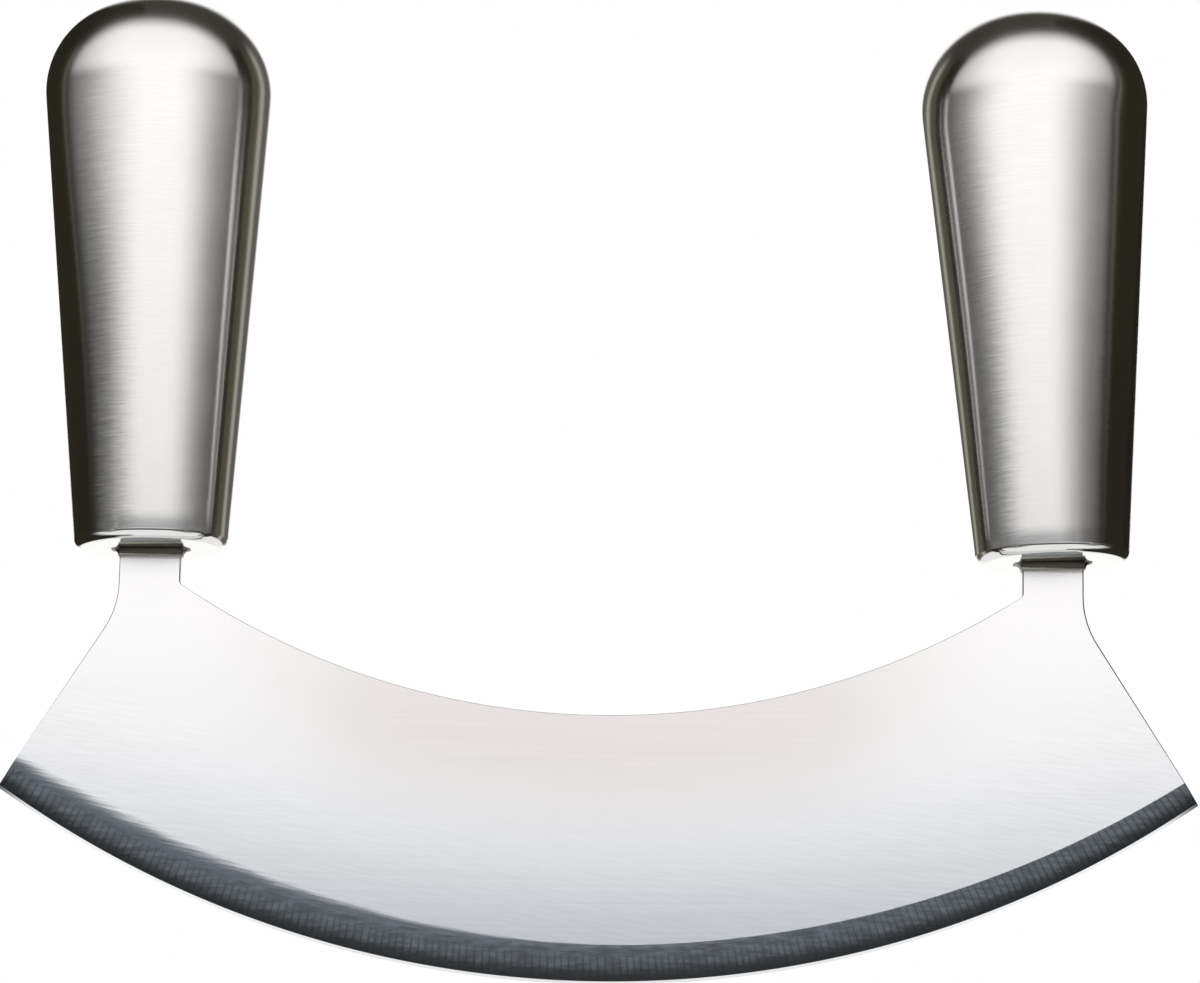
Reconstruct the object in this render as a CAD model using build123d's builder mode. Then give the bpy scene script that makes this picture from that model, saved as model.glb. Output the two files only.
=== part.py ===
"""Single-blade mezzaluna: a crescent blade hung between two hollow steel handles.

Frame: X runs along the blade, Y through its thickness, Z up the handles.
The origin is the lowest point of the cutting edge, midway between the handles.
"""

import os
from math import cos, hypot, radians, sin, sqrt, tan

from build123d import *

os.makedirs("parts", exist_ok=True)

# ---------------------------------------------------------------- driving sizes
# Millimetres and degrees.

# blade, one sheet
blade_length = 200.0  # tip to tip
edge_radius = 176.0  # rocking curve of the cutting edge
blade_depth = 44.7  # cutting edge to concave back, at the middle
back_radius = 128.8  # concave back
blade_thickness = 2.0
end_angle = 32.0  # sloping end edge, measured from upright
shoulder_radius = 15.0  # sweep from the end edge into the neck
sweep_share = 0.9  # most of the neck's height that the sweep may take
back_corner_radius = 1.0  # corner between the back and the neck
# grinding
bevel_width_mid = 6.3  # primary bevel, at the middle of the edge
bevel_width_tip = 4.3  # primary bevel, at the tips
honed_width = 0.5  # narrow honed bevel along the edge itself
honed_stock = 0.4  # thickness left where the honed bevel starts
edge_land = 0.06  # thickness of the edge itself
# necks and tangs
neck_inset = 24.1  # from the tip in to the middle of the neck
neck_width = 10.2
neck_rise = 4.8  # straight neck, from the back's corner to the base disc
neck_seat = 0.5  # how far the neck sinks into the base disc
tang_width = 7.0
tang_thickness = 1.6
tang_length = 58.0  # above the base disc's underside
tang_tip_chamfer = 1.5
# handles
grip_lean = {"left": -1.0, "right": -2.0}  # as photographed, off square to the blade
grip_base_diameter = 25.6
grip_taper = 4.7  # half angle, widening upwards
cone_length = 78.2  # from the underside to the widest ring
crown_shoulder_radius = 15.35  # arc from the widest ring inwards
crown_rise = 0.85  # crown above the shoulder arc's own top
shell_wall = 1.0
# base discs
base_edge_radius = 1.6
base_rim_height = 3.4  # outer skin of the disc, up to its joint with the tube
base_floor = 3.0
spigot_height = 3.0  # ring of the disc that reaches into the tube
spigot_wall = 1.6
bead_leg = 1.3  # concave weld bead round the neck
bead_land = 0.25  # bead left round the neck at its foot
# end caps
cap_wall = 1.8  # least wall of the bored cap
cap_bore_angle = 43.0  # where the bore's two cones meet, above the shoulder arc's centre
lip_length = 4.0  # rebated rim that reaches into the tube
# bedding
bedding_height = 66.0  # above the base disc's underside
# clearances
fit_gap = 0.05  # round the neck, the tang, the spigot and the lip

# --------------------------------------------------------------- derived places
SIGN = {"left": -1, "right": 1}
tip_x = blade_length / 2
tip_z = edge_radius - sqrt(edge_radius**2 - tip_x**2)
neck_x = tip_x - neck_inset
neck_outer_x = neck_x + neck_width / 2
neck_inner_x = neck_x - neck_width / 2
end_slope = radians(end_angle)
shoulder_z = tip_z + (tip_x - neck_outer_x) / tan(end_slope)
back_corner_z = blade_depth + back_radius - sqrt(back_radius**2 - neck_inner_x**2)
grip_base_z = back_corner_z + back_corner_radius + neck_rise
steepest_lean = radians(max(abs(lean) for lean in grip_lean.values()))
# The neck keeps its full thickness up to just below the bead's foot.
neck_top_z = grip_base_z - bead_leg - 2 * fit_gap - neck_width * sin(steepest_lean)
tang_root_z = grip_base_z + neck_seat
# The end edge's sweep runs out below the top of the neck.
sweep_radius = min(shoulder_radius, sweep_share * (neck_top_z - shoulder_z) / tan(end_slope / 2))

taper = radians(grip_taper)
base_radius = grip_base_diameter / 2
widest_radius = base_radius + cone_length * tan(taper)
# The crown is a shoulder arc, then a flatter arc centred on the handle's axis.
shoulder_centre_r = widest_radius - crown_shoulder_radius * cos(taper)
shoulder_centre_h = cone_length + crown_shoulder_radius * sin(taper)
crown_radius = (
    crown_shoulder_radius + crown_rise / 2 + shoulder_centre_r**2 / (2 * crown_rise)
)
crown_top_h = shoulder_centre_h + crown_shoulder_radius + crown_rise
crown_centre_h = crown_top_h - crown_radius


def grip_plane(side):
    """Plane of a handle's flat underside, with its normal up the handle's axis."""
    lean = radians(grip_lean[side])
    return Plane(
        origin=(SIGN[side] * neck_x, 0, grip_base_z),
        x_dir=(cos(lean), 0, -sin(lean)),
        z_dir=(sin(lean), 0, cos(lean)),
    )


def grip_profile_plane(side):
    """Upright plane through a handle's axis: local x is the radius, y the height."""
    plane = grip_plane(side)
    return Plane(origin=plane.origin, x_dir=plane.x_dir, z_dir=(0, -1, 0))


def grip_axis(side):
    plane = grip_plane(side)
    return Axis(plane.origin, plane.z_dir)


def cone_point(height, inset=0.0):
    """Point of the handle's cone at a height, set in square to its surface."""
    radius = base_radius + height * tan(taper)
    return (radius - inset * cos(taper), height + inset * sin(taper))


def cap_bore_point(angle):
    """Point of the cap's bore on the shoulder arc set in by the wall."""
    radius = crown_shoulder_radius - cap_wall
    return (
        shoulder_centre_r + radius * cos(radians(angle)),
        shoulder_centre_h + radius * sin(radians(angle)),
    )


# ------------------------------------------------------------------------ blade
def blade_section(y, width_mid, width_tip):
    """The blade's outline on the plane at y, its lower arc set back from the edge."""
    corner_x = tip_x - width_tip * sin(end_slope)
    corner_z = tip_z + width_tip * cos(end_slope)
    with BuildSketch(Plane.XZ.offset(-y)) as section:
        with BuildLine():
            ThreePointArc((-corner_x, corner_z), (0, width_mid), (corner_x, corner_z))
            ThreePointArc(
                (-neck_inner_x, back_corner_z),
                (0, blade_depth),
                (neck_inner_x, back_corner_z),
            )
            for sign in (-1, 1):
                Polyline(
                    (sign * corner_x, corner_z),
                    (sign * neck_outer_x, shoulder_z),
                    (sign * neck_outer_x, neck_top_z),
                    (sign * neck_inner_x, neck_top_z),
                    (sign * neck_inner_x, back_corner_z),
                )
        make_face()
        near = 0.001
        shoulders = section.vertices().filter_by_position(
            Axis.Y, shoulder_z - near, shoulder_z + near
        )
        fillet(shoulders, radius=sweep_radius)
        back_corners = section.vertices().filter_by_position(
            Axis.Y, back_corner_z - near, back_corner_z + near
        )
        fillet(back_corners, radius=back_corner_radius)
    return section.sketch


def make_blade():
    """One sheet, ground on both sides, with a tang standing on each neck."""
    flat = (blade_thickness / 2, bevel_width_mid, bevel_width_tip)
    honed = (honed_stock / 2, honed_width, honed_width)
    edge = (edge_land / 2, 0, 0)
    with BuildPart() as blade:
        back_half = [blade_section(y, mid, tip) for y, mid, tip in (edge, honed, flat)]
        front_half = [blade_section(-y, mid, tip) for y, mid, tip in (flat, honed, edge)]
        loft(front_half + back_half, ruled=True)
        with BuildSketch(Plane.XY.offset(neck_top_z)):
            with Locations((-neck_x, 0), (neck_x, 0)):
                Rectangle(neck_width, tang_thickness)
        extrude(amount=tang_root_z - neck_top_z)
        with BuildSketch(Plane.XY.offset(tang_root_z)):
            with Locations((-neck_x, 0), (neck_x, 0)):
                Rectangle(tang_width, tang_thickness)
        extrude(amount=tang_length - neck_seat)
        tang_tips = blade.faces().sort_by(Axis.Z)[-2:]
        chamfer(tang_tips.edges().filter_by(Axis.Y), length=tang_tip_chamfer)
    return blade


# ---------------------------------------------------------------------- handles
def make_base_disc(side):
    """Slotted end plug with a rounded rim, a spigot ring and the neck's weld bead."""
    spigot_top = base_floor + spigot_height
    with BuildPart() as disc:
        with BuildSketch(grip_profile_plane(side)) as section:
            with BuildLine():
                outer_foot = cone_point(0)
                rim = cone_point(base_rim_height)
                rim_inner = cone_point(base_rim_height, shell_wall + fit_gap)
                spigot_tip = cone_point(spigot_top, shell_wall + fit_gap)
                bore = spigot_tip[0] - spigot_wall
                Polyline(
                    (0, 0),
                    outer_foot,
                    rim,
                    rim_inner,
                    spigot_tip,
                    (bore, spigot_tip[1]),
                    (bore, base_floor),
                    (0, base_floor),
                    close=True,
                )
            make_face()
            fillet(section.vertices().group_by(Axis.Y)[0].sort_by(Axis.X)[-1], base_edge_radius)
        revolve(axis=grip_axis(side))
        # The bead is a boss under the disc, rounded into it all the way round.
        with BuildSketch(grip_plane(side)):
            Rectangle(neck_width + 2 * bead_land, blade_thickness + 2 * bead_land)
        extrude(amount=-bead_leg)
        underside = disc.faces().filter_by(lambda face: len(face.inner_wires()) == 1)
        underside = underside.sort_by(grip_axis(side))[0]
        fillet(underside.inner_wires()[0].edges(), radius=bead_leg * 0.95)
        # seat for the neck, then the slot for the tang, both square to the blade
        with BuildSketch(Plane.XY.offset(tang_root_z)):
            with Locations((SIGN[side] * neck_x, 0)):
                Rectangle(neck_width + 2 * fit_gap, tang_thickness + 2 * fit_gap)
        extrude(amount=neck_top_z - tang_root_z, mode=Mode.SUBTRACT)
        with BuildSketch(Plane.XY.offset(tang_root_z)):
            with Locations((SIGN[side] * neck_x, 0)):
                Rectangle(tang_width + 2 * fit_gap, tang_thickness + 2 * fit_gap)
        extrude(amount=base_floor + spigot_height, mode=Mode.SUBTRACT)
    return disc


def make_grip_tube(side):
    """Conical tube between the base disc and the end cap."""
    with BuildPart() as tube:
        with BuildSketch(grip_profile_plane(side)):
            with BuildLine():
                Polyline(
                    cone_point(base_rim_height),
                    cone_point(cone_length),
                    cone_point(cone_length, shell_wall),
                    cone_point(base_rim_height, shell_wall),
                    close=True,
                )
            make_face()
        revolve(axis=grip_axis(side))
    return tube


def make_dome_cap(side):
    """End cap with a two-arc crown, bored in two cones, its rim rebated into a lip."""
    lip_inset = shell_wall + fit_gap
    rim = cone_point(cone_length)
    crown_top = (0, crown_top_h)
    # The two arcs meet where the line through their centres leaves the skin.
    reach = hypot(shoulder_centre_r, shoulder_centre_h - crown_centre_h)
    meet_r = shoulder_centre_r / reach
    meet_h = (shoulder_centre_h - crown_centre_h) / reach
    meet = (crown_radius * meet_r, crown_centre_h + crown_radius * meet_h)
    bore_top = cap_bore_point(90)
    with BuildPart() as cap:
        with BuildSketch(grip_profile_plane(side)):
            with BuildLine():
                TangentArc(rim, meet, tangent=(sin(taper), cos(taper)))
                TangentArc(meet, crown_top, tangent=(-meet_h, meet_r))
                Polyline(
                    crown_top,
                    (0, bore_top[1]),
                    bore_top,
                    cap_bore_point(cap_bore_angle),
                    cap_bore_point(-grip_taper),
                    cone_point(cone_length - lip_length, cap_wall),
                    cone_point(cone_length - lip_length, lip_inset),
                    cone_point(cone_length, lip_inset),
                    rim,
                )
            make_face()
        revolve(axis=grip_axis(side))
    return cap


def make_tang_bedding(side):
    """Cast filling that holds the tang, from the base disc's floor upwards."""
    spigot_top = base_floor + spigot_height
    spigot_bore = cone_point(spigot_top, shell_wall + fit_gap)[0] - spigot_wall
    over_spigot = cone_point(spigot_top, shell_wall + fit_gap)[1]
    with BuildPart() as bedding:
        with BuildSketch(grip_profile_plane(side)):
            with BuildLine():
                Polyline(
                    (0, base_floor),
                    (spigot_bore - fit_gap, base_floor),
                    (spigot_bore - fit_gap, over_spigot),
                    (cone_point(over_spigot)[0] - shell_wall / cos(taper) - fit_gap, over_spigot),
                    (cone_point(bedding_height)[0] - shell_wall / cos(taper) - fit_gap, bedding_height),
                    (0, bedding_height),
                    close=True,
                )
            make_face()
        revolve(axis=grip_axis(side))
        with BuildSketch(Plane.XY.offset(grip_base_z)):
            with Locations((SIGN[side] * neck_x, 0)):
                Rectangle(tang_width + 2 * fit_gap, tang_thickness + 2 * fit_gap)
        extrude(amount=tang_length + fit_gap, mode=Mode.SUBTRACT)
    return bedding


# ----------------------------------------------------------------------- export
blade = make_blade()
blade.part.label = "blade"
export_step(blade.part, "parts/blade.step")

for side in SIGN:
    for name, make in (
        ("base_disc", make_base_disc),
        ("grip_tube", make_grip_tube),
        ("dome_cap", make_dome_cap),
        ("tang_bedding", make_tang_bedding),
    ):
        piece = make(side)
        piece.part.label = f"{side}_{name}"
        export_step(piece.part, f"parts/{piece.part.label}.step")

print("crown radius", round(crown_radius, 2), "widest diameter", round(2 * widest_radius, 2))
print("height over the crowns", round(grip_base_z + crown_top_h, 1))
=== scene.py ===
"""Looks for the single-blade mezzaluna: satin handles, brushed blade, ground bevel.

Metres throughout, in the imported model's own frame: the lowest point of the cutting edge
is the origin, X runs along the blade, Y through its thickness and Z up the handles.
"""

from math import asin, atan2, cos, pi, radians, sin, sqrt, tan

import bmesh
import bpy
from mathutils import Matrix, Vector


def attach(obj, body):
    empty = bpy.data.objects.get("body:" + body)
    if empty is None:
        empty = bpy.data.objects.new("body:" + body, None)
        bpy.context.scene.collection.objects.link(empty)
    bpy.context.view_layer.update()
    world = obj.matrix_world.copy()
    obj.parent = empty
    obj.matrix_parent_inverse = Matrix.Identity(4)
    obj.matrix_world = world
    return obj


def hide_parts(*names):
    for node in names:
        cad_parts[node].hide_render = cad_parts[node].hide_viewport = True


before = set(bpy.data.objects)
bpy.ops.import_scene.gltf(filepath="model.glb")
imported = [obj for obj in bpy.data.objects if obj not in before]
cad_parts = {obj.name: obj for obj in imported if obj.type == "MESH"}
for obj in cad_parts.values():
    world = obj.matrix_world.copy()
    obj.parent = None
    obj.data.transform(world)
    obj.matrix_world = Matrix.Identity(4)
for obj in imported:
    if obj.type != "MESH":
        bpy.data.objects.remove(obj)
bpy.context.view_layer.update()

MM = 0.001
SIDES = {"left": -1, "right": 1}

# ----------------------------------------------------------------- real sizes
# blade
TIP_X = 100 * MM
EDGE_RADIUS = 176 * MM  # rocking curve
BLADE_DEPTH = 44.7 * MM
BACK_RADIUS = 128.8 * MM
SHEET_HALF = 1.0 * MM  # half the sheet's thickness
END_SLOPE = radians(32)  # end edge, from upright
SHOULDER_RADIUS = 15 * MM
BACK_CORNER_RADIUS = 1.0 * MM
BEVEL_MID = 6.3 * MM
BEVEL_TIP = 4.3 * MM
HONED_WIDTH = 0.5 * MM
HONED_HALF = 0.2 * MM
EDGE_HALF = 0.03 * MM
NECK_X = 75.9 * MM
NECK_HALF = 5.1 * MM
NECK_RISE = 4.8 * MM
NECK_ENTRY = 0.3 * MM  # how far the dressed neck reaches into its base disc
# rounding of the sheet's cut edges: its depth, and its reach along each stretch
ROUNDING_DEPTH = 0.16 * MM
RIGHT_SIDE_ROUNDING = 0.22 * MM
LEFT_SIDE_ROUNDING = 0.12 * MM
TIP_ROUNDING = 0.12 * MM
NECK_ROUNDING = 0.12 * MM
BACK_ROUNDING = 0.08 * MM
# handles
GRIP_LEAN = {"left": radians(-1.0), "right": radians(-2.0)}
BASE_RADIUS = 12.8 * MM
TAPER = radians(4.7)
CONE_LENGTH = 78.2 * MM
CROWN_SHOULDER = 15.35 * MM
CROWN_RISE = 0.85 * MM
WALL = 1.0 * MM
BASE_EDGE = 1.6 * MM
BASE_RIM = 3.4 * MM
BASE_FLOOR = 3.0 * MM
CAP_WALL = 1.8 * MM
CAP_LIP = 4.0 * MM
CAP_BORE_ANGLE = radians(43)
FIT_GAP = 0.05 * MM
BEAD_LEG = 1.3 * MM
BEAD_LAND = 0.25 * MM
SLIVER = 0.01 * MM  # the looks lie this far inside the solids

# ------------------------------------------------------------- derived places
TIP_Z = EDGE_RADIUS - sqrt(EDGE_RADIUS**2 - TIP_X**2)
NECK_OUTER = NECK_X + NECK_HALF
NECK_INNER = NECK_X - NECK_HALF
SHOULDER_Z = TIP_Z + (TIP_X - NECK_OUTER) / tan(END_SLOPE)
BACK_CORNER_Z = BLADE_DEPTH + BACK_RADIUS - sqrt(BACK_RADIUS**2 - NECK_INNER**2)
GRIP_Z = BACK_CORNER_Z + BACK_CORNER_RADIUS + NECK_RISE
NECK_TOP_Z = GRIP_Z + NECK_ENTRY
WIDEST = BASE_RADIUS + CONE_LENGTH * tan(TAPER)
CROWN_R = WIDEST - CROWN_SHOULDER * cos(TAPER)
CROWN_H = CONE_LENGTH + CROWN_SHOULDER * sin(TAPER)
CROWN_RADIUS = CROWN_SHOULDER + CROWN_RISE / 2 + CROWN_R**2 / (2 * CROWN_RISE)
CROWN_TOP = CROWN_H + CROWN_SHOULDER + CROWN_RISE

# -------------------------------------------------------------- steps of curves
ROUND_STEPS = 144  # round a handle
EDGE_STEPS, BACK_STEPS, SWEEP_STEPS, CORNER_STEPS = 160, 144, 16, 6
SHOULDER_STEPS, CROWN_STEPS, RIM_STEPS = 40, 12, 14
BEAD_RINGS, BEAD_CORNER_STEPS = 9, 8
SAME_POINT = 0.002 * MM


def grip_matrix(side):
    """Places a handle, modelled upright on the origin, over its neck."""
    foot = Matrix.Translation((SIDES[side] * NECK_X, 0, GRIP_Z))
    return foot @ Matrix.Rotation(GRIP_LEAN[side], 4, "Y")


def grip_axis(side):
    """The way in which a handle points."""
    return (sin(GRIP_LEAN[side]), 0, cos(GRIP_LEAN[side]))


def arc_through(corner_x, corner_z, low_z):
    """Radius of the arc through both corners and the lowest point between them."""
    rise = corner_z - low_z
    return (corner_x**2 + rise**2) / (2 * rise)


def slope(degrees):
    """Tangent of an angle in degrees, by which the shading is turned."""
    return tan(radians(degrees))


# ------------------------------------------------------------- mesh helpers
def line_to(bm, vert, place):
    """Draws a straight edge from a vertex and returns its end."""
    end = bmesh.ops.extrude_vert_indiv(bm, verts=[vert])["verts"][0]
    end.co = place
    return end


def draw(bm, places):
    """Draws straight edges through the places and returns both ends."""
    first = last = bmesh.ops.create_vert(bm, co=places[0])["vert"][0]
    for place in places[1:]:
        last = line_to(bm, last, place)
    return first, last


def arc_to(bm, vert, centre, angle, steps, axis=(0, 1, 0)):
    """Draws an arc from a vertex; about Y, a positive angle turns +Z towards +X."""
    swept = bmesh.ops.spin(bm, geom=[vert], cent=centre, axis=axis, angle=angle, steps=steps)
    return swept["geom_last"][0]


def close_loop(bm, first, last):
    """Joins the two ends of a chain of edges."""
    bmesh.ops.contextual_create(bm, geom=[first, last])


def skin(bm, loops):
    """Bridges loops of edges, drawn one after the other, and fills the two at the ends."""
    edges = bm.edges[:]
    count = len(edges) // loops
    for k in range(loops - 1):
        bmesh.ops.bridge_loops(bm, edges=edges[k * count : (k + 2) * count])
    bmesh.ops.contextual_create(bm, geom=edges[:count])
    bmesh.ops.contextual_create(bm, geom=edges[-count:])
    bmesh.ops.recalc_face_normals(bm, faces=bm.faces)


def revolve(bm):
    """Spins what has been drawn about Z and closes it."""
    bmesh.ops.spin(
        bm,
        geom=bm.verts[:] + bm.edges[:],
        cent=(0, 0, 0),
        axis=(0, 0, 1),
        angle=2 * pi,
        steps=ROUND_STEPS,
        use_merge=True,
    )
    bmesh.ops.remove_doubles(bm, verts=bm.verts, dist=SAME_POINT)
    bmesh.ops.recalc_face_normals(bm, faces=bm.faces)


def to_object(bm, name, materials):
    """Turns what has been modelled into an object of the scene."""
    mesh = bpy.data.meshes.new(name)
    bm.to_mesh(mesh)
    bm.free()
    made = bpy.data.objects.new(name, mesh)
    bpy.context.scene.collection.objects.link(made)
    for material in materials:
        mesh.materials.append(material)
    return made


def finished_piece(bm, name, materials, replaced=(), crisp=radians(28)):
    """Makes the object, with smooth faces and crisp edges, and rides it."""
    for face in bm.faces:
        face.smooth = True
    for edge in bm.edges:
        edge.smooth = edge.calc_face_angle(0) < crisp
    piece = to_object(bm, name, materials)
    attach(piece, "root")
    if replaced:
        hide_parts(*replaced)


# ------------------------------------------------------------ material helpers
class Nodes:
    """A node tree, with short calls for the nodes that the looks are made of."""

    def __init__(self, tree):
        self.tree = tree

    def node(self, kind, **settings):
        made = self.tree.nodes.new(kind)
        for key, value in settings.items():
            setattr(made, key, value)
        return made

    def feed(self, socket, value):
        """Links a node's output to a socket, or sets a plain value on it."""
        if isinstance(value, bpy.types.NodeSocket):
            self.tree.links.new(value, socket)
        else:
            socket.default_value = value

    def fed(self, made, values):
        """Feeds a node's inputs in turn, and returns its outputs."""
        for socket, value in zip(made.inputs, values):
            self.feed(socket, value)
        return made.outputs

    def math(self, operation, *values):
        return self.fed(self.node("ShaderNodeMath", operation=operation), values)[0]

    def plus(self, first, *others):
        for other in others:
            first = self.math("ADD", first, other)
        return first

    def minus(self, first, second):
        return self.math("SUBTRACT", first, second)

    def times(self, first, *others):
        for other in others:
            first = self.math("MULTIPLY", first, other)
        return first

    def vector(self, operation, *values):
        made = self.node("ShaderNodeVectorMath", operation=operation)
        scalar = operation in ("DOT_PRODUCT", "LENGTH")
        return self.fed(made, values)["Value" if scalar else "Vector"]

    def scaled(self, vector, factor):
        made = self.node("ShaderNodeVectorMath", operation="SCALE")
        self.feed(made.inputs[0], vector)
        self.feed(made.inputs["Scale"], factor)
        return made.outputs["Vector"]

    def split(self, vector):
        return self.fed(self.node("ShaderNodeSeparateXYZ"), [vector])[:3]

    def join(self, x, y, z):
        return self.fed(self.node("ShaderNodeCombineXYZ"), (x, y, z))[0]

    def noise(self, place, scale, detail, roughness):
        made = self.node("ShaderNodeTexNoise")
        self.feed(made.inputs["Vector"], place)
        made.inputs["Scale"].default_value = scale
        made.inputs["Detail"].default_value = detail
        made.inputs["Roughness"].default_value = roughness
        return made.outputs[0]

    def step(self, value, low, high, start=0.0, end=1.0):
        """Smooth change from start to end as the value goes from low to high."""
        made = self.node("ShaderNodeMapRange", interpolation_type="SMOOTHSTEP")
        return self.fed(made, (value, low, high, start, end))[0]

    def blend(self, share, first, second):
        """Mixes two colours by a share."""
        made = self.node("ShaderNodeMix", data_type="RGBA")
        self.feed(made.inputs[0], share)
        for socket, value in zip(made.inputs[6:8], (first, second)):
            if not isinstance(value, bpy.types.NodeSocket):
                value = (*value, 1)
            self.feed(socket, value)
        return made.outputs[2]


class Finish(Nodes):
    """A material with one shader, whose patterns follow a place on the object."""

    def __init__(self, name, colour, roughness, metallic=1.0):
        self.material = bpy.data.materials.new(name)
        self.material.use_nodes = True
        super().__init__(self.material.node_tree)
        self.shader = self.tree.nodes["Principled BSDF"]
        self.give("Base Color", (*colour, 1))
        self.give("Roughness", roughness)
        self.give("Metallic", metallic)
        self.place = self.node("ShaderNodeTexCoord").outputs["Object"]

    def give(self, name, value):
        """Feeds one of the shader's sockets."""
        self.feed(self.shader.inputs[name], value)

    def brush(self, direction, spread):
        """Sets the way in which the brushing spreads a highlight, and how much."""
        self.give("Anisotropic", spread)
        self.give("Tangent", self.join(*direction))

    def turn_shading(self, *pushes):
        """Turns the shading off the surface's own normal by pushes along directions."""
        normal = self.node("ShaderNodeNewGeometry").outputs["Normal"]
        for push in pushes:
            normal = self.vector("ADD", normal, push)
        self.give("Normal", self.vector("NORMALIZE", normal))

    def lean(self, amount):
        """Turns the shading a little downwards, by the tangent of the angle."""
        self.turn_shading(self.join(0.0, 0.0, self.times(amount, -1.0)))

    def lines_place(self, along, up, density):
        """Place for a pattern of lines on the blade, by their density both ways."""
        return self.join(self.times(along, density[0]), 0.0, self.times(up, density[1]))

    def depth_inside(self, centre_z, radius):
        """Distance of a point from an arc in the XZ plane, towards the arc's centre."""
        from_centre = self.vector("SUBTRACT", self.place, (0, 0, centre_z))
        flat = self.vector("MULTIPLY", from_centre, (1, 0, 1))
        return self.minus(radius, self.vector("LENGTH", flat))

    def cover(self, share, below, above):
        """Mixes two shaders on the surface: the second one covers the first by a share."""
        mixed = self.node("ShaderNodeMixShader")
        self.fed(mixed, (share, below, above))
        self.feed(self.tree.nodes["Material Output"].inputs["Surface"], mixed.outputs[0])


# ------------------------------------------------------------ handle finishes
# Angles in degrees by which the brushing has turned each handle's shading: of the whole
# cone at its foot and at its top, and of its left half towards the top.
CONE_TURN = {"left": (-3.6, -3.6), "right": (11, 6)}
LEFT_HALF_TURN = {"left": 9, "right": 5.5}
FOOT_TURN = 4.4
SCRATCH_DENSITY, CLOUD_DENSITY = 1300, 60  # along the handle, to the metre
SATIN_DEEP, SATIN_PALE = (0.705, 0.696, 0.682), (0.765, 0.755, 0.740)
DOME_STEEL = (0.70, 0.69, 0.68)


def grip_finish(side):
    """Handle steel: brushed round the cone, and polished over the dome."""
    finish = Finish(side + "_grip_satin", (0.74, 0.73, 0.715), 0.20)
    axis = grip_axis(side)
    from_foot = finish.vector("SUBTRACT", finish.place, (SIDES[side] * NECK_X, 0, GRIP_Z))
    height = finish.vector("DOT_PRODUCT", from_foot, axis)
    around = finish.vector("NORMALIZE", finish.vector("CROSS_PRODUCT", axis, from_foot))
    out_x, out_y, _ = finish.split(finish.vector("CROSS_PRODUCT", around, axis))

    # The finish changes at the welded ring, then brightens up the dome.
    ring = finish.step(height, CONE_LENGTH - 0.02 * MM, CONE_LENGTH + 0.02 * MM, 0.0, 0.15)
    dome = finish.step(height, CONE_LENGTH, CONE_LENGTH + 7 * MM, 0.0, 0.85)
    polish = finish.plus(ring, dome)

    # Scratches are slow round the handle and fast along it, and lie over broader clouds.
    scratch_place = finish.join(out_x, out_y, finish.times(height, SCRATCH_DENSITY))
    scratches = finish.noise(scratch_place, scale=3.0, detail=3, roughness=0.7)
    cloud_place = finish.join(out_x, out_y, finish.times(height, CLOUD_DENSITY))
    clouds = finish.noise(cloud_place, scale=1.6, detail=2, roughness=0.5)
    grain = finish.plus(finish.times(scratches, 0.6), finish.times(clouds, 0.4))
    satin = finish.blend(finish.step(grain, 0.30, 0.70), SATIN_DEEP, SATIN_PALE)
    # Painted highlight: the satin is coloured paler towards the top of the cone.
    painted_highlight_rise = finish.step(height, 10 * MM, CONE_LENGTH, 1.0, 1.06)
    finish.give("Base Color", finish.blend(polish, finish.scaled(satin, painted_highlight_rise), DOME_STEEL))
    rough = finish.step(grain, 0.3, 0.7, 0.185, 0.215)
    finish.give("Roughness", finish.minus(rough, finish.times(polish, 0.06)))
    finish.brush(axis, 0.9)

    # The scratches turn the light to either side, and the brushing has raised one flank
    # and flattened the left half; the dome is true again, and the foot is buffed rounder.
    low, high = CONE_TURN[side]
    flank = finish.step(height, 0, CONE_LENGTH, slope(low), slope(high))
    flattened = finish.times(
        finish.step(height, 0.30 * CONE_LENGTH, CONE_LENGTH, 0.0, slope(LEFT_HALF_TURN[side])),
        finish.step(out_x, 0.05, -0.65),
    )
    depth = finish.times(
        finish.step(height, CONE_LENGTH, 5 * MM, 0.05, 0.17),
        finish.step(finish.math("ABSOLUTE", out_x), 0.92, 0.60),
    )
    swing = finish.times(finish.minus(scratches, 0.5), depth)
    swing = finish.plus(swing, finish.plus(flattened, flank))
    below_dome = finish.step(height, CONE_LENGTH + 9 * MM, CONE_LENGTH - 6 * MM)
    buffed = finish.step(height, 5.0 * MM, 2.2 * MM, 0.0, -slope(FOOT_TURN))
    finish.turn_shading(
        finish.scaled(around, finish.times(swing, below_dome)), finish.scaled(axis, buffed)
    )
    return finish.material


def weld_finish():
    """Weld bead: dark scale, with painted shade in the corner, paler where it runs out."""
    finish = Finish("weld_scale_and_shade", (0.10, 0.092, 0.085), 0.32)
    _, _, z = finish.split(finish.place)
    grain = finish.noise(finish.place, scale=900, detail=3, roughness=0.6)
    uneven_z = finish.plus(z, finish.times(grain, 0.2 * MM))
    # Painted shade: the bead is darkest in the corner against the disc, paler lower down.
    clear_of_corner_shade = finish.step(uneven_z, GRIP_Z - 0.78 * MM, GRIP_Z - 0.95 * MM)
    finish.give("Base Color", finish.blend(clear_of_corner_shade, (0.062, 0.055, 0.046), (0.38, 0.365, 0.33)))
    return finish.material


def polished_finish(name, colour, roughness):
    """Polished steel with a faint haze."""
    finish = Finish(name, colour, roughness)
    haze = finish.noise(finish.place, scale=260, detail=3, roughness=0.6)
    finish.give("Roughness", finish.step(haze, 0.3, 0.7, roughness * 0.8, roughness * 1.3))
    return finish.material


def bedding_finish():
    """Dull cast filling inside the handles."""
    finish = Finish("cast_bedding", (0.62, 0.60, 0.55), 0.8, metallic=0.0)
    grain = finish.noise(finish.place, scale=900, detail=3, roughness=0.6)
    finish.give("Base Color", finish.blend(grain, (0.56, 0.54, 0.49), (0.68, 0.66, 0.61)))
    return finish.material


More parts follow.
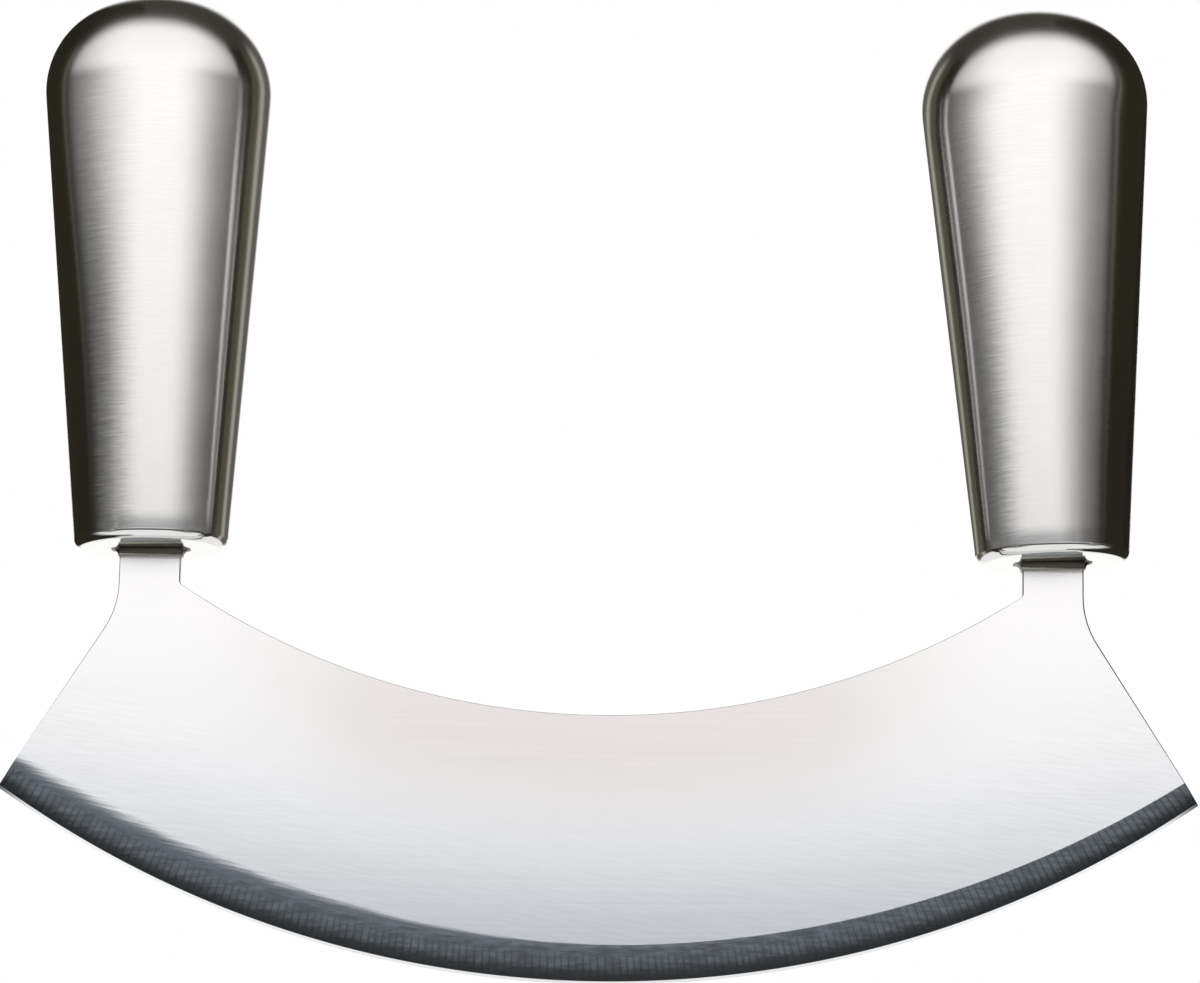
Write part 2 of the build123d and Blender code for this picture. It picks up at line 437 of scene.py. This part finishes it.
# ------------------------------------------------------------- blade finishes
# Densities of the lines to the metre, along the sheet and up it.
STREAK_DENSITY, HAIR_DENSITY = (24, 1700), (110, 2600)
BEVEL_HAIR_DENSITY, MOTTLE_DENSITY = (220, 1300), (380, 160)
WHEEL_MARK_DENSITY, MARK_DRIFT_DENSITY = 820, 110
# Painted shade: the sheet's steel is darker and bluer low by the bevel, paler up by the necks.
STEEL_PAINTED_DIM_LOW, STEEL_PAINTED_BRIGHT_HIGH = (0.695, 0.717, 0.750), (0.785, 0.778, 0.780)
WARM_CAST = (0.672, 0.642, 0.637)  # along the middle of the back
# Painted reflection: a dark slate colour where the grinding of the left bevel fades out.
FEATHER_PAINTED_REFLECTION = (0.40, 0.45, 0.50)  # where the grinding of the left bevel fades out
# Painted shade: a band at the top of each neck, darker towards the disc, and a dark line under
# it.
NECK_SHADE_LOW, NECK_SHADE_HIGH = (0.50, 0.475, 0.460), (0.40, 0.38, 0.35)
NECK_DARK_LINE = (0.25, 0.20, 0.18)
BEVEL_DEEP, BEVEL_PALE = (0.40, 0.40, 0.40), (0.80, 0.84, 0.87)


def blade_finish():
    """Sheet steel ground lengthwise in fine, slightly wavy lines."""
    finish = Finish("blade_satin", (0.74, 0.74, 0.745), 0.20)
    x, _, z = finish.split(finish.place)
    bevel_radius = arc_through(
        TIP_X - BEVEL_TIP * sin(END_SLOPE), TIP_Z + BEVEL_TIP * cos(END_SLOPE), BEVEL_MID
    )
    over_bevel = finish.depth_inside(BEVEL_MID + bevel_radius, bevel_radius)

    # Long streaks follow the sheet; shorter hairs cross them at a small angle.
    wave_place = finish.vector("MULTIPLY", finish.place, (12, 0, 12))
    waves = finish.noise(wave_place, scale=1.0, detail=1, roughness=0.5)
    wavy_z = finish.plus(z, finish.times(waves, 4 * MM))
    streak_place = finish.lines_place(x, wavy_z, STREAK_DENSITY)
    streaks = finish.noise(streak_place, scale=1.0, detail=3, roughness=0.6)
    hair_z = finish.plus(wavy_z, finish.times(x, 0.2))
    hair_place = finish.lines_place(x, hair_z, HAIR_DENSITY)
    hairs = finish.noise(hair_place, scale=1.0, detail=4, roughness=0.7)
    finish.give("Roughness", finish.step(streaks, 0.3, 0.7, 0.19, 0.21))
    finish.brush((0, 0, 1), 0.7)

    # At the left the grinding of the bevel feathers out into the sheet.
    swell = finish.times(
        finish.step(x, 10 * MM, -80 * MM), finish.step(x, -110 * MM, -80 * MM, 0.6, 1.0)
    )
    width = finish.plus(finish.times(swell, 2.0 * MM), 0.12 * MM)
    ragged = finish.plus(
        finish.math("DIVIDE", over_bevel, width), finish.times(finish.minus(hairs, 0.5), 1.5)
    )
    feather = finish.step(ragged, 1.5, 0.0)

    # The sheet rounds off a little towards the bevel, and the streaks show more there.
    near = finish.step(over_bevel, 30 * MM, 2 * MM, 0.15, 1.0)
    soft = finish.step(over_bevel, 24 * MM, 1 * MM, 0.0, slope(1.1))
    ripple = finish.times(finish.minus(streaks, 0.5), finish.times(near, 0.014))
    finish.lean(finish.plus(soft, finish.times(feather, slope(9)), ripple))

    # Painted shade: the steel is darker and bluer towards the bevel and paler up to the necks.
    # A faint warm cast along the back, and a painted shade band, darker towards the disc,
    # with a dark line under it at the top of each neck.
    steel = finish.blend(finish.step(z, 4 * MM, 62 * MM), STEEL_PAINTED_DIM_LOW, STEEL_PAINTED_BRIGHT_HIGH)
    streaked = finish.times(finish.minus(finish.plus(streaks, hairs), 1.0), near)
    steel = finish.scaled(steel, finish.step(streaked, -0.25, 0.25, 0.955, 1.045))
    middle = finish.step(finish.math("ABSOLUTE", x), 72 * MM, 30 * MM)
    cast = finish.times(middle, finish.step(over_bevel, 12 * MM, 34 * MM))
    # Painted reflection: the feathered zone is coloured dark slate, as well as turned down.
    ground = finish.blend(feather, finish.blend(cast, steel, WARM_CAST), FEATHER_PAINTED_REFLECTION)
    # Painted shade band at the top of each neck, darker towards the disc, with a dark line under
    # it.
    band = finish.step(z, GRIP_Z - 1.58 * MM, GRIP_Z - 1.50 * MM)
    line = finish.times(
        finish.step(z, GRIP_Z - 1.74 * MM, GRIP_Z - 1.66 * MM),
        finish.step(z, GRIP_Z - 1.50 * MM, GRIP_Z - 1.58 * MM),
    )
    neck_shade = finish.blend(
        finish.step(z, GRIP_Z - 1.6 * MM, GRIP_Z - 1.0 * MM), NECK_SHADE_LOW, NECK_SHADE_HIGH
    )
    tone = finish.blend(band, ground, neck_shade)
    finish.give("Base Color", finish.blend(finish.times(line, 0.45), tone, NECK_DARK_LINE))
    return finish.material


def bevel_finish():
    """Ground bevel: hair-fine grinding lines, and marks of the wheel square to the edge."""
    finish = Finish("bevel_grind", (0.70, 0.72, 0.74), 0.15)
    x, _, z = finish.split(finish.place)
    bearing = finish.math("ARCTAN2", x, finish.minus(EDGE_RADIUS, z))
    along = finish.times(bearing, EDGE_RADIUS)
    height = finish.depth_inside(EDGE_RADIUS, EDGE_RADIUS)
    share = finish.math("DIVIDE", height, BEVEL_MID)  # 0 at the edge, 1 at the sheet

    # Marks of the wheel, a little bowed and unevenly spaced.
    bowed = finish.times(share, share, 0.35)
    drift_place = finish.join(finish.times(along, MARK_DRIFT_DENSITY), 0.0, 0.0)
    drift = finish.noise(drift_place, scale=1.0, detail=2, roughness=0.5)
    count = finish.plus(finish.times(along, WHEEL_MARK_DENSITY), finish.times(drift, 1.2))
    marks = finish.step(finish.math("PINGPONG", finish.plus(count, bowed), 0.5), 0.0, 0.25)
    strength = finish.math(
        "MAXIMUM",
        finish.step(x, 20 * MM, 75 * MM, 0.0, 0.80),
        finish.times(finish.step(share, 0.90, 0.60), 0.62),
    )

    # Hairs and mottle of the grinding between them.
    hair_place = finish.lines_place(x, z, BEVEL_HAIR_DENSITY)
    hairs = finish.step(finish.noise(hair_place, scale=1.0, detail=3, roughness=0.7), 0.30, 0.70)
    mottle_place = finish.lines_place(along, height, MOTTLE_DENSITY)
    mottle = finish.noise(mottle_place, scale=1.0, detail=3, roughness=0.6)
    ground = finish.plus(finish.times(hairs, 0.55), finish.times(mottle, 0.45))
    tone = finish.plus(
        finish.times(marks, ground, strength),
        finish.times(ground, finish.minus(1.0, strength)),
    )
    # Painted shade: the colour darkens towards the cutting edge.
    painted_shade_foot = finish.step(share, 0.04, 0.50, 0.40, 1.05)
    steel = finish.blend(tone, BEVEL_DEEP, BEVEL_PALE)
    finish.give("Base Color", finish.scaled(steel, painted_shade_foot))

    # The wheel leaves the bevel slightly hollow: turned up at the top, down at the foot.
    top = finish.step(share, 0.86, 1.0, 0.0, -0.035)
    foot = finish.step(share, 0.62, 0.12, 0.0, 0.060)
    ripple = finish.times(finish.minus(tone, 0.5), -0.03)
    finish.lean(finish.plus(top, foot, ripple, -0.030))
    return finish.material


# --------------------------------------------------------------------- blade
def sweep_up(side, inset):
    """Foot and centre of the arc by which a side's end edge sweeps up to the neck."""
    radius = SHOULDER_RADIUS + inset
    head_z = SHOULDER_Z + SHOULDER_RADIUS * tan(END_SLOPE / 2)
    centre_x = NECK_OUTER + SHOULDER_RADIUS
    foot_x = centre_x - radius * cos(END_SLOPE)
    return (side * foot_x, head_z - radius * sin(END_SLOPE)), (side * centre_x, head_z)


def outline(bm, y, width_mid, width_tip, rounded):
    """Draws the sheet's outline at one depth.

    Its lower arc lies above the cutting edge by a width in the middle and at the tips.
    The other stretches are set in by their rounding where rounded is 1.
    """
    right_side, left_side, tip, neck, back = (
        rounded * reach
        for reach in (
            RIGHT_SIDE_ROUNDING, LEFT_SIDE_ROUNDING, TIP_ROUNDING, NECK_ROUNDING, BACK_ROUNDING
        )
    )
    corner_x = TIP_X - width_tip * sin(END_SLOPE)
    corner_z = TIP_Z + width_tip * cos(END_SLOPE)
    radius = arc_through(corner_x, corner_z, width_mid)
    reach = asin(corner_x / radius)
    first = bmesh.ops.create_vert(bm, co=(-corner_x, y, corner_z))["vert"][0]
    vert = arc_to(bm, first, (0, y, width_mid + radius), -2 * reach, EDGE_STEPS)
    vert.co.x -= tip * cos(END_SLOPE)
    vert.co.z -= tip * sin(END_SLOPE)

    # right end edge, sweep and neck
    (foot_x, foot_z), (centre_x, head_z) = sweep_up(1, right_side)
    vert = line_to(bm, vert, (foot_x, y, foot_z))
    vert = arc_to(bm, vert, (centre_x, y, head_z), END_SLOPE, SWEEP_STEPS)
    vert = line_to(bm, vert, (NECK_OUTER - right_side, y, NECK_TOP_Z))
    neck_inner = NECK_INNER + neck
    vert = line_to(bm, vert, (neck_inner, y, NECK_TOP_Z))

    # right corner of the back, the back's arc, then the left corner
    back_z = BLADE_DEPTH + BACK_RADIUS
    corner_radius = BACK_CORNER_RADIUS + neck
    arc_x = neck_inner - corner_radius
    arc_z = back_z - sqrt((BACK_RADIUS + back - corner_radius) ** 2 - arc_x**2)
    bearing = atan2(arc_x, back_z - arc_z)
    vert = line_to(bm, vert, (neck_inner, y, arc_z))
    vert = arc_to(bm, vert, (arc_x, y, arc_z), pi / 2 - bearing, CORNER_STEPS)
    vert = arc_to(bm, vert, (0, y, back_z), 2 * bearing, BACK_STEPS)
    vert = arc_to(bm, vert, (-arc_x, y, arc_z), pi / 2 - bearing, CORNER_STEPS)

    # left neck, sweep and end edge
    _, (centre_x, head_z) = sweep_up(-1, left_side)
    neck_outer = -NECK_OUTER + left_side
    for place in ((-neck_inner, NECK_TOP_Z), (neck_outer, NECK_TOP_Z), (neck_outer, head_z)):
        vert = line_to(bm, vert, (place[0], y, place[1]))
    vert = arc_to(bm, vert, (centre_x, y, head_z), END_SLOPE, SWEEP_STEPS)
    close_loop(bm, first, vert)


def make_blade():
    """One sheet, ground on both sides: outlines bridged from face to face."""
    bm = bmesh.new()
    face = SHEET_HALF - SLIVER
    side = face - ROUNDING_DEPTH

    def ground(width):
        """Width of the bevel where it has come in to the side's depth."""
        share = (side - HONED_HALF) / (face - HONED_HALF)
        return HONED_WIDTH + share * (width - HONED_WIDTH)

    # depth, width of the ground part in the middle and at the tips, and rounding
    half = [
        (face, BEVEL_MID, BEVEL_TIP, 1.0),
        (side, ground(BEVEL_MID), ground(BEVEL_TIP), 0.0),
        (HONED_HALF, HONED_WIDTH, HONED_WIDTH, 0.0),
        (EDGE_HALF, 3 * SLIVER, 3 * SLIVER, 0.0),
    ]
    for depth, mid, tip, rounded in half:
        outline(bm, -depth, mid, tip, rounded)
    for depth, mid, tip, rounded in reversed(half):
        outline(bm, depth, mid, tip, rounded)
    skin(bm, 2 * len(half))
    # Materials: 0 the sheet, 1 the ground bevel, 2 the honed bevel, 3 the cut edges.
    for part in bm.faces:
        if len(part.verts) > 4:
            continue
        lower = part.normal.z < -0.02 and abs(part.normal.y) > 0.5
        honed = abs(part.calc_center_median().y) < HONED_HALF
        part.material_index = (2 if honed else 1) if lower else 3
    return bm


# -------------------------------------------------------------------- handles
def cone_point(height, inset=0.0):
    """A place on the cone's profile, or square to it inside."""
    radius = BASE_RADIUS + height * tan(TAPER)
    return radius - inset * cos(TAPER), 0, height + inset * sin(TAPER)


def make_grip_tube(side):
    """Conical tube, open at both ends."""
    bm = bmesh.new()
    first, last = draw(
        bm,
        [
            cone_point(BASE_RIM, SLIVER),
            cone_point(CONE_LENGTH, SLIVER),
            cone_point(CONE_LENGTH, WALL),
            cone_point(BASE_RIM, WALL),
        ],
    )
    close_loop(bm, first, last)
    revolve(bm)
    bm.transform(grip_matrix(side))
    return bm


def make_crown(side):
    """End cap: two arcs outside, bored in two cones, its rim rebated to a lip."""
    bm = bmesh.new()
    lip = WALL + FIT_GAP
    bore = CROWN_SHOULDER - CAP_WALL
    _, vert = draw(
        bm,
        [
            (0, 0, CROWN_H + bore),
            (CROWN_R, 0, CROWN_H + bore),
            (CROWN_R + bore * cos(CAP_BORE_ANGLE), 0, CROWN_H + bore * sin(CAP_BORE_ANGLE)),
            cone_point(CONE_LENGTH - CAP_LIP, CAP_WALL),
            cone_point(CONE_LENGTH - CAP_LIP, lip),
            cone_point(CONE_LENGTH, lip),
            cone_point(CONE_LENGTH, SLIVER),
        ],
    )
    crown_centre = CROWN_TOP - CROWN_RADIUS
    meet = atan2(CROWN_H - crown_centre, CROWN_R)
    vert = arc_to(bm, vert, (CROWN_R, 0, CROWN_H), -(meet + TAPER), SHOULDER_STEPS)
    arc_to(bm, vert, (0, 0, crown_centre), -(pi / 2 - meet), CROWN_STEPS)
    revolve(bm)
    bm.transform(grip_matrix(side))
    return bm


def make_base_disc(side):
    """Base disc: flat underside, a rim rounded up to the cone, and a spigot on top."""
    bm = bmesh.new()
    # The rounded rim is tangent to the flat underside and to the cone.
    centre_r = BASE_RADIUS - BASE_EDGE * (1 - sin(TAPER)) / cos(TAPER)
    _, vert = draw(bm, [(0, 0, BASE_FLOOR), (0, 0, SLIVER), (centre_r, 0, SLIVER)])
    vert = arc_to(bm, vert, (centre_r, 0, BASE_EDGE), -(pi / 2 - TAPER), RIM_STEPS)
    for place in (
        cone_point(BASE_RIM, SLIVER),
        cone_point(BASE_RIM, WALL + 2 * FIT_GAP),
        (BASE_RADIUS - 2 * WALL, 0, BASE_FLOOR),
    ):
        vert = line_to(bm, vert, place)
    revolve(bm)
    # Materials: 0 the polished underside and rim, 1 the satin wall.
    for part in bm.faces:
        if abs(part.normal.z + sin(TAPER)) < 0.01:
            part.material_index = 1
    bm.transform(grip_matrix(side))
    return bm


def neck_ring(bm, reach, height):
    """Draws the neck's outline set out by a reach, with rounded corners."""
    x, y = NECK_HALF, SHEET_HALF
    first = vert = bmesh.ops.create_vert(bm, co=(x + reach, -y, height))["vert"][0]
    for k, (corner_x, corner_y) in enumerate(((x, y), (-x, y), (-x, -y), (x, -y))):
        corner = Vector((corner_x, corner_y, height))
        start = corner + Matrix.Rotation(k * pi / 2, 3, "Z") @ Vector((reach, 0, 0))
        vert = line_to(bm, vert, start)
        vert = arc_to(bm, vert, corner, pi / 2, BEAD_CORNER_STEPS, axis=(0, 0, 1))
    bmesh.ops.weld_verts(bm, targetmap={vert: first})


def make_neck_weld(side):
    """Concave bead between the neck and the disc's underside."""
    bm = bmesh.new()
    for k in range(BEAD_RINGS):
        turn = pi / 2 * k / (BEAD_RINGS - 1)
        neck_ring(bm, BEAD_LAND + BEAD_LEG * (1 - cos(turn)), -BEAD_LEG * (1 - sin(turn)))
    skin(bm, BEAD_RINGS)
    bm.transform(grip_matrix(side))
    return bm


# -------------------------------------------------------------------- assembly
finished_piece(
    make_blade(),
    "blade_sheet",
    [
        blade_finish(),
        bevel_finish(),
        polished_finish("honed_edge", (0.82, 0.83, 0.84), 0.12),
        # Painted shade: the cut edges are coloured dark, for their dark outline.
        polished_finish("cut_edge_painted_dark", (0.42, 0.40, 0.39), 0.30),
    ],
    ["blade"],
    crisp=radians(4),
)

disc_polish = polished_finish("disc_polish", (0.80, 0.80, 0.78), 0.10)
weld = weld_finish()
for side in SIDES:
    satin = grip_finish(side)
    for make, name, slot, materials, replaced in (
        (make_grip_tube, "_grip", "grip_steel", [satin], ["_grip_tube"]),
        (make_crown, "_crown", "grip_steel", [satin], ["_dome_cap"]),
        (make_base_disc, "_foot", "base_steel", [disc_polish, satin], ["_base_disc"]),
        (make_neck_weld, "_neck_weld", "base_steel", [weld], []),
    ):
        stood_for = [side + node for node in replaced]
        finished_piece(make(side), side + name, materials, stood_for)

bedding = bedding_finish()
for side in SIDES:
    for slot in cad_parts[side + "_tang_bedding"].material_slots:
        slot.material = bedding


# --------------------------------------------------------------------- studio
FLOOR_Z, FLOOR_HALF = -0.30, 4.0
FLOOR_GLOW = 0.38  # lifts the floor to a pale tone, for the camera alone
# Strengths of light in the room that the steel mirrors.
PANEL = (1.33, 1.32, 1.315)
BACKDROP = (1.12, 1.12, 1.11)
GROUND = (0.98, 0.98, 0.98)
CEILING = (0.056, 0.053, 0.043)
SIDE_WALL, OLIVE_WALL = (0.075, 0.075, 0.073), (0.085, 0.080, 0.055)
THIN_STRIPE, BROAD_STRIPE = (0.30, 0.28, 0.24), (0.42, 0.42, 0.34)
BACK_WALL = (0.125, 0.116, 0.110)


def studio_world():
    """The room: a white panel in front that arches overhead, and dull walls beside it.

    The walls carry two paler stripes. Above them is a dark ceiling, behind the object a
    white backdrop and below it a white ground. The camera itself sees plain white.
    """
    world = bpy.data.worlds.new("studio")
    world.use_nodes = True
    bpy.context.scene.world = world
    world.node_tree.nodes.clear()
    room = Nodes(world.node_tree)
    x, y, up = room.split(room.node("ShaderNodeTexCoord").outputs["Generated"])
    side = room.math("ABSOLUTE", x)
    ahead = room.times(y, -1.0)  # 1 towards the camera
    bearing = room.math("ARCTAN2", side, ahead)

    def past(start, end):
        """Goes from 0 to 1 between two bearings, in degrees from straight ahead."""
        return room.step(bearing, radians(start), radians(end))

    # The panel widens above eye level and fades to its sides and overhead.
    tilted = room.plus(ahead, room.times(room.math("MAXIMUM", up, 0.0), 0.3))
    widening = room.step(up, 0.12, 0.30, 0.88, 1.50)
    turn = room.math("DIVIDE", room.math("ARCTAN2", side, tilted), widening)
    outer_fall = room.step(turn, radians(90), radians(12))
    inner_fall = room.step(turn, radians(73), radians(20))
    pitch = room.math("ARCTAN2", up, ahead)
    arched = room.minus(pitch, room.times(side, side, 0.35))
    below_arch = room.step(arched, radians(91), radians(62))
    below_eye = room.math("LESS_THAN", up, 0.0)
    lit = room.times(
        room.times(room.plus(outer_fall, inner_fall), 0.5),
        room.math("MAXIMUM", below_arch, below_eye),
    )

    walls = room.blend(past(94, 103), SIDE_WALL, OLIVE_WALL)
    walls = room.blend(room.times(past(96, 99), past(103, 100)), walls, THIN_STRIPE)
    walls = room.blend(past(123, 130), walls, BROAD_STRIPE)
    walls = room.blend(past(133, 141), walls, BACK_WALL)
    walls = room.blend(room.step(up, 0.48, 0.66), walls, CEILING)
    backdrop = room.times(past(156, 170), room.step(up, 0.74, 0.50))
    walls = room.blend(backdrop, walls, BACKDROP)
    lit_room = room.blend(lit, walls, PANEL)

    facing = room.step(ahead, 0.1, 0.5)
    ground = room.plus(
        room.times(facing, room.step(up, -0.44, -0.56)),
        room.times(room.minus(1.0, facing), room.step(up, -0.22, -0.34)),
    )
    mirrored = room.blend(ground, lit_room, GROUND)
    from_camera = room.node("ShaderNodeLightPath").outputs["Is Camera Ray"]
    background = room.node("ShaderNodeBackground")
    room.feed(background.inputs["Color"], room.blend(from_camera, mirrored, (1, 1, 1)))
    room.feed(room.node("ShaderNodeOutputWorld").inputs[0], background.outputs[0])


def make_floor():
    """Plain pale floor, well below the object and clear from underneath."""
    finish = Finish("pale_floor", (0.9, 0.9, 0.9), 0.7, metallic=0.0)
    from_camera = finish.node("ShaderNodeLightPath").outputs["Is Camera Ray"]
    finish.give("Emission Color", (1, 1, 1, 1))
    finish.give("Emission Strength", finish.times(from_camera, FLOOR_GLOW))
    under = finish.node("ShaderNodeNewGeometry").outputs["Backfacing"]
    clear = finish.node("ShaderNodeBsdfTransparent")
    finish.cover(under, finish.shader.outputs[0], clear.outputs[0])
    bm = bmesh.new()
    bmesh.ops.create_grid(bm, x_segments=1, y_segments=1, size=FLOOR_HALF)
    floor = to_object(bm, "floor", [finish.material])
    floor.location = (0, 0, FLOOR_Z)
    floor.visible_glossy = False


def make_card(name, corners, material):
    """Flat studio card that only shows in reflections."""
    bm = bmesh.new()
    first, last = draw(bm, corners)
    close_loop(bm, first, last)
    bmesh.ops.contextual_create(bm, geom=bm.edges[:])
    card = to_object(bm, name, [material])
    card.visible_camera = card.visible_diffuse = card.visible_shadow = False


def studio_cloth(name, deep, pale, fades):
    """Cloth with a tone of its own: deep low down and pale higher up, clear where it fades.

    Each fade names an axis, 1 for depth or 2 for height, and where it starts and ends.
    """
    cloth = Finish(name, (0, 0, 0), 1.0, metallic=0.0)
    place = cloth.split(cloth.place)
    weave = cloth.times(cloth.noise(cloth.place, scale=40, detail=2, roughness=0.5), 0.01)
    height = cloth.plus(place[2], weave)
    glow = cloth.node("ShaderNodeEmission")
    cloth.feed(glow.inputs["Color"], cloth.blend(cloth.step(height, -0.115, -0.055), deep, pale))
    clear = cloth.node("ShaderNodeBsdfTransparent")
    cover = 1.0
    for axis, start, end in fades:
        cover = cloth.times(cloth.step(place[axis], start, end), cover)
    cloth.cover(cover, clear.outputs[0], glow.outputs[0])
    return cloth.material


def make_cards():
    """Dark flags beside the handles, and a dark table edge in front and below."""
    black = studio_cloth(
        "flag_cloth", (0.020, 0.017, 0.012), (0.026, 0.023, 0.016), [(1, -0.017, -0.005)]
    )
    near, far, low, high = -0.018, 0.052, -0.05, 0.30
    for side, way in SIDES.items():
        x = way * 0.1045
        corners = [(x, near, low), (x, near, high), (x, far, high), (x, far, low)]
        make_card(side + "_flag", corners, black)
    table = studio_cloth(
        "table_cloth",
        (0.028, 0.029, 0.031),
        (0.150, 0.168, 0.190),
        [(2, 0.065, -0.015), (2, -0.205, -0.165)],
    )
    half, front, low, high = 0.7, -0.5, -0.21, 0.07
    corners = [(-half, front, low), (half, front, low), (half, front, high), (-half, front, high)]
    make_card("table_edge", corners, table)


def make_camera():
    """The photograph's view: long lens, a little from below, turned slightly."""
    distance, rise, roll = 0.700, radians(10.61), radians(0.90)
    target = Vector((-0.00048, 0, 0.08285))
    forward = Vector((0, cos(rise), sin(rise)))
    up = Vector((0, -sin(rise), cos(rise)))
    right = Vector((1, 0, 0))
    camera_right = cos(roll) * right + sin(roll) * up
    camera_up = -sin(roll) * right + cos(roll) * up
    data = bpy.data.cameras.new("camera")
    data.lens, data.sensor_width = 124.38, 36
    data.clip_start, data.clip_end = 0.05, 20
    camera = bpy.data.objects.new("camera", data)
    turn = Matrix((camera_right, camera_up, -forward)).transposed().to_4x4()
    camera.matrix_world = Matrix.Translation(target - distance * forward) @ turn
    bpy.context.scene.collection.objects.link(camera)
    bpy.context.scene.camera = camera


studio_world()
make_floor()
make_cards()
make_camera()
bpy.context.scene.view_settings.view_transform = "Standard"
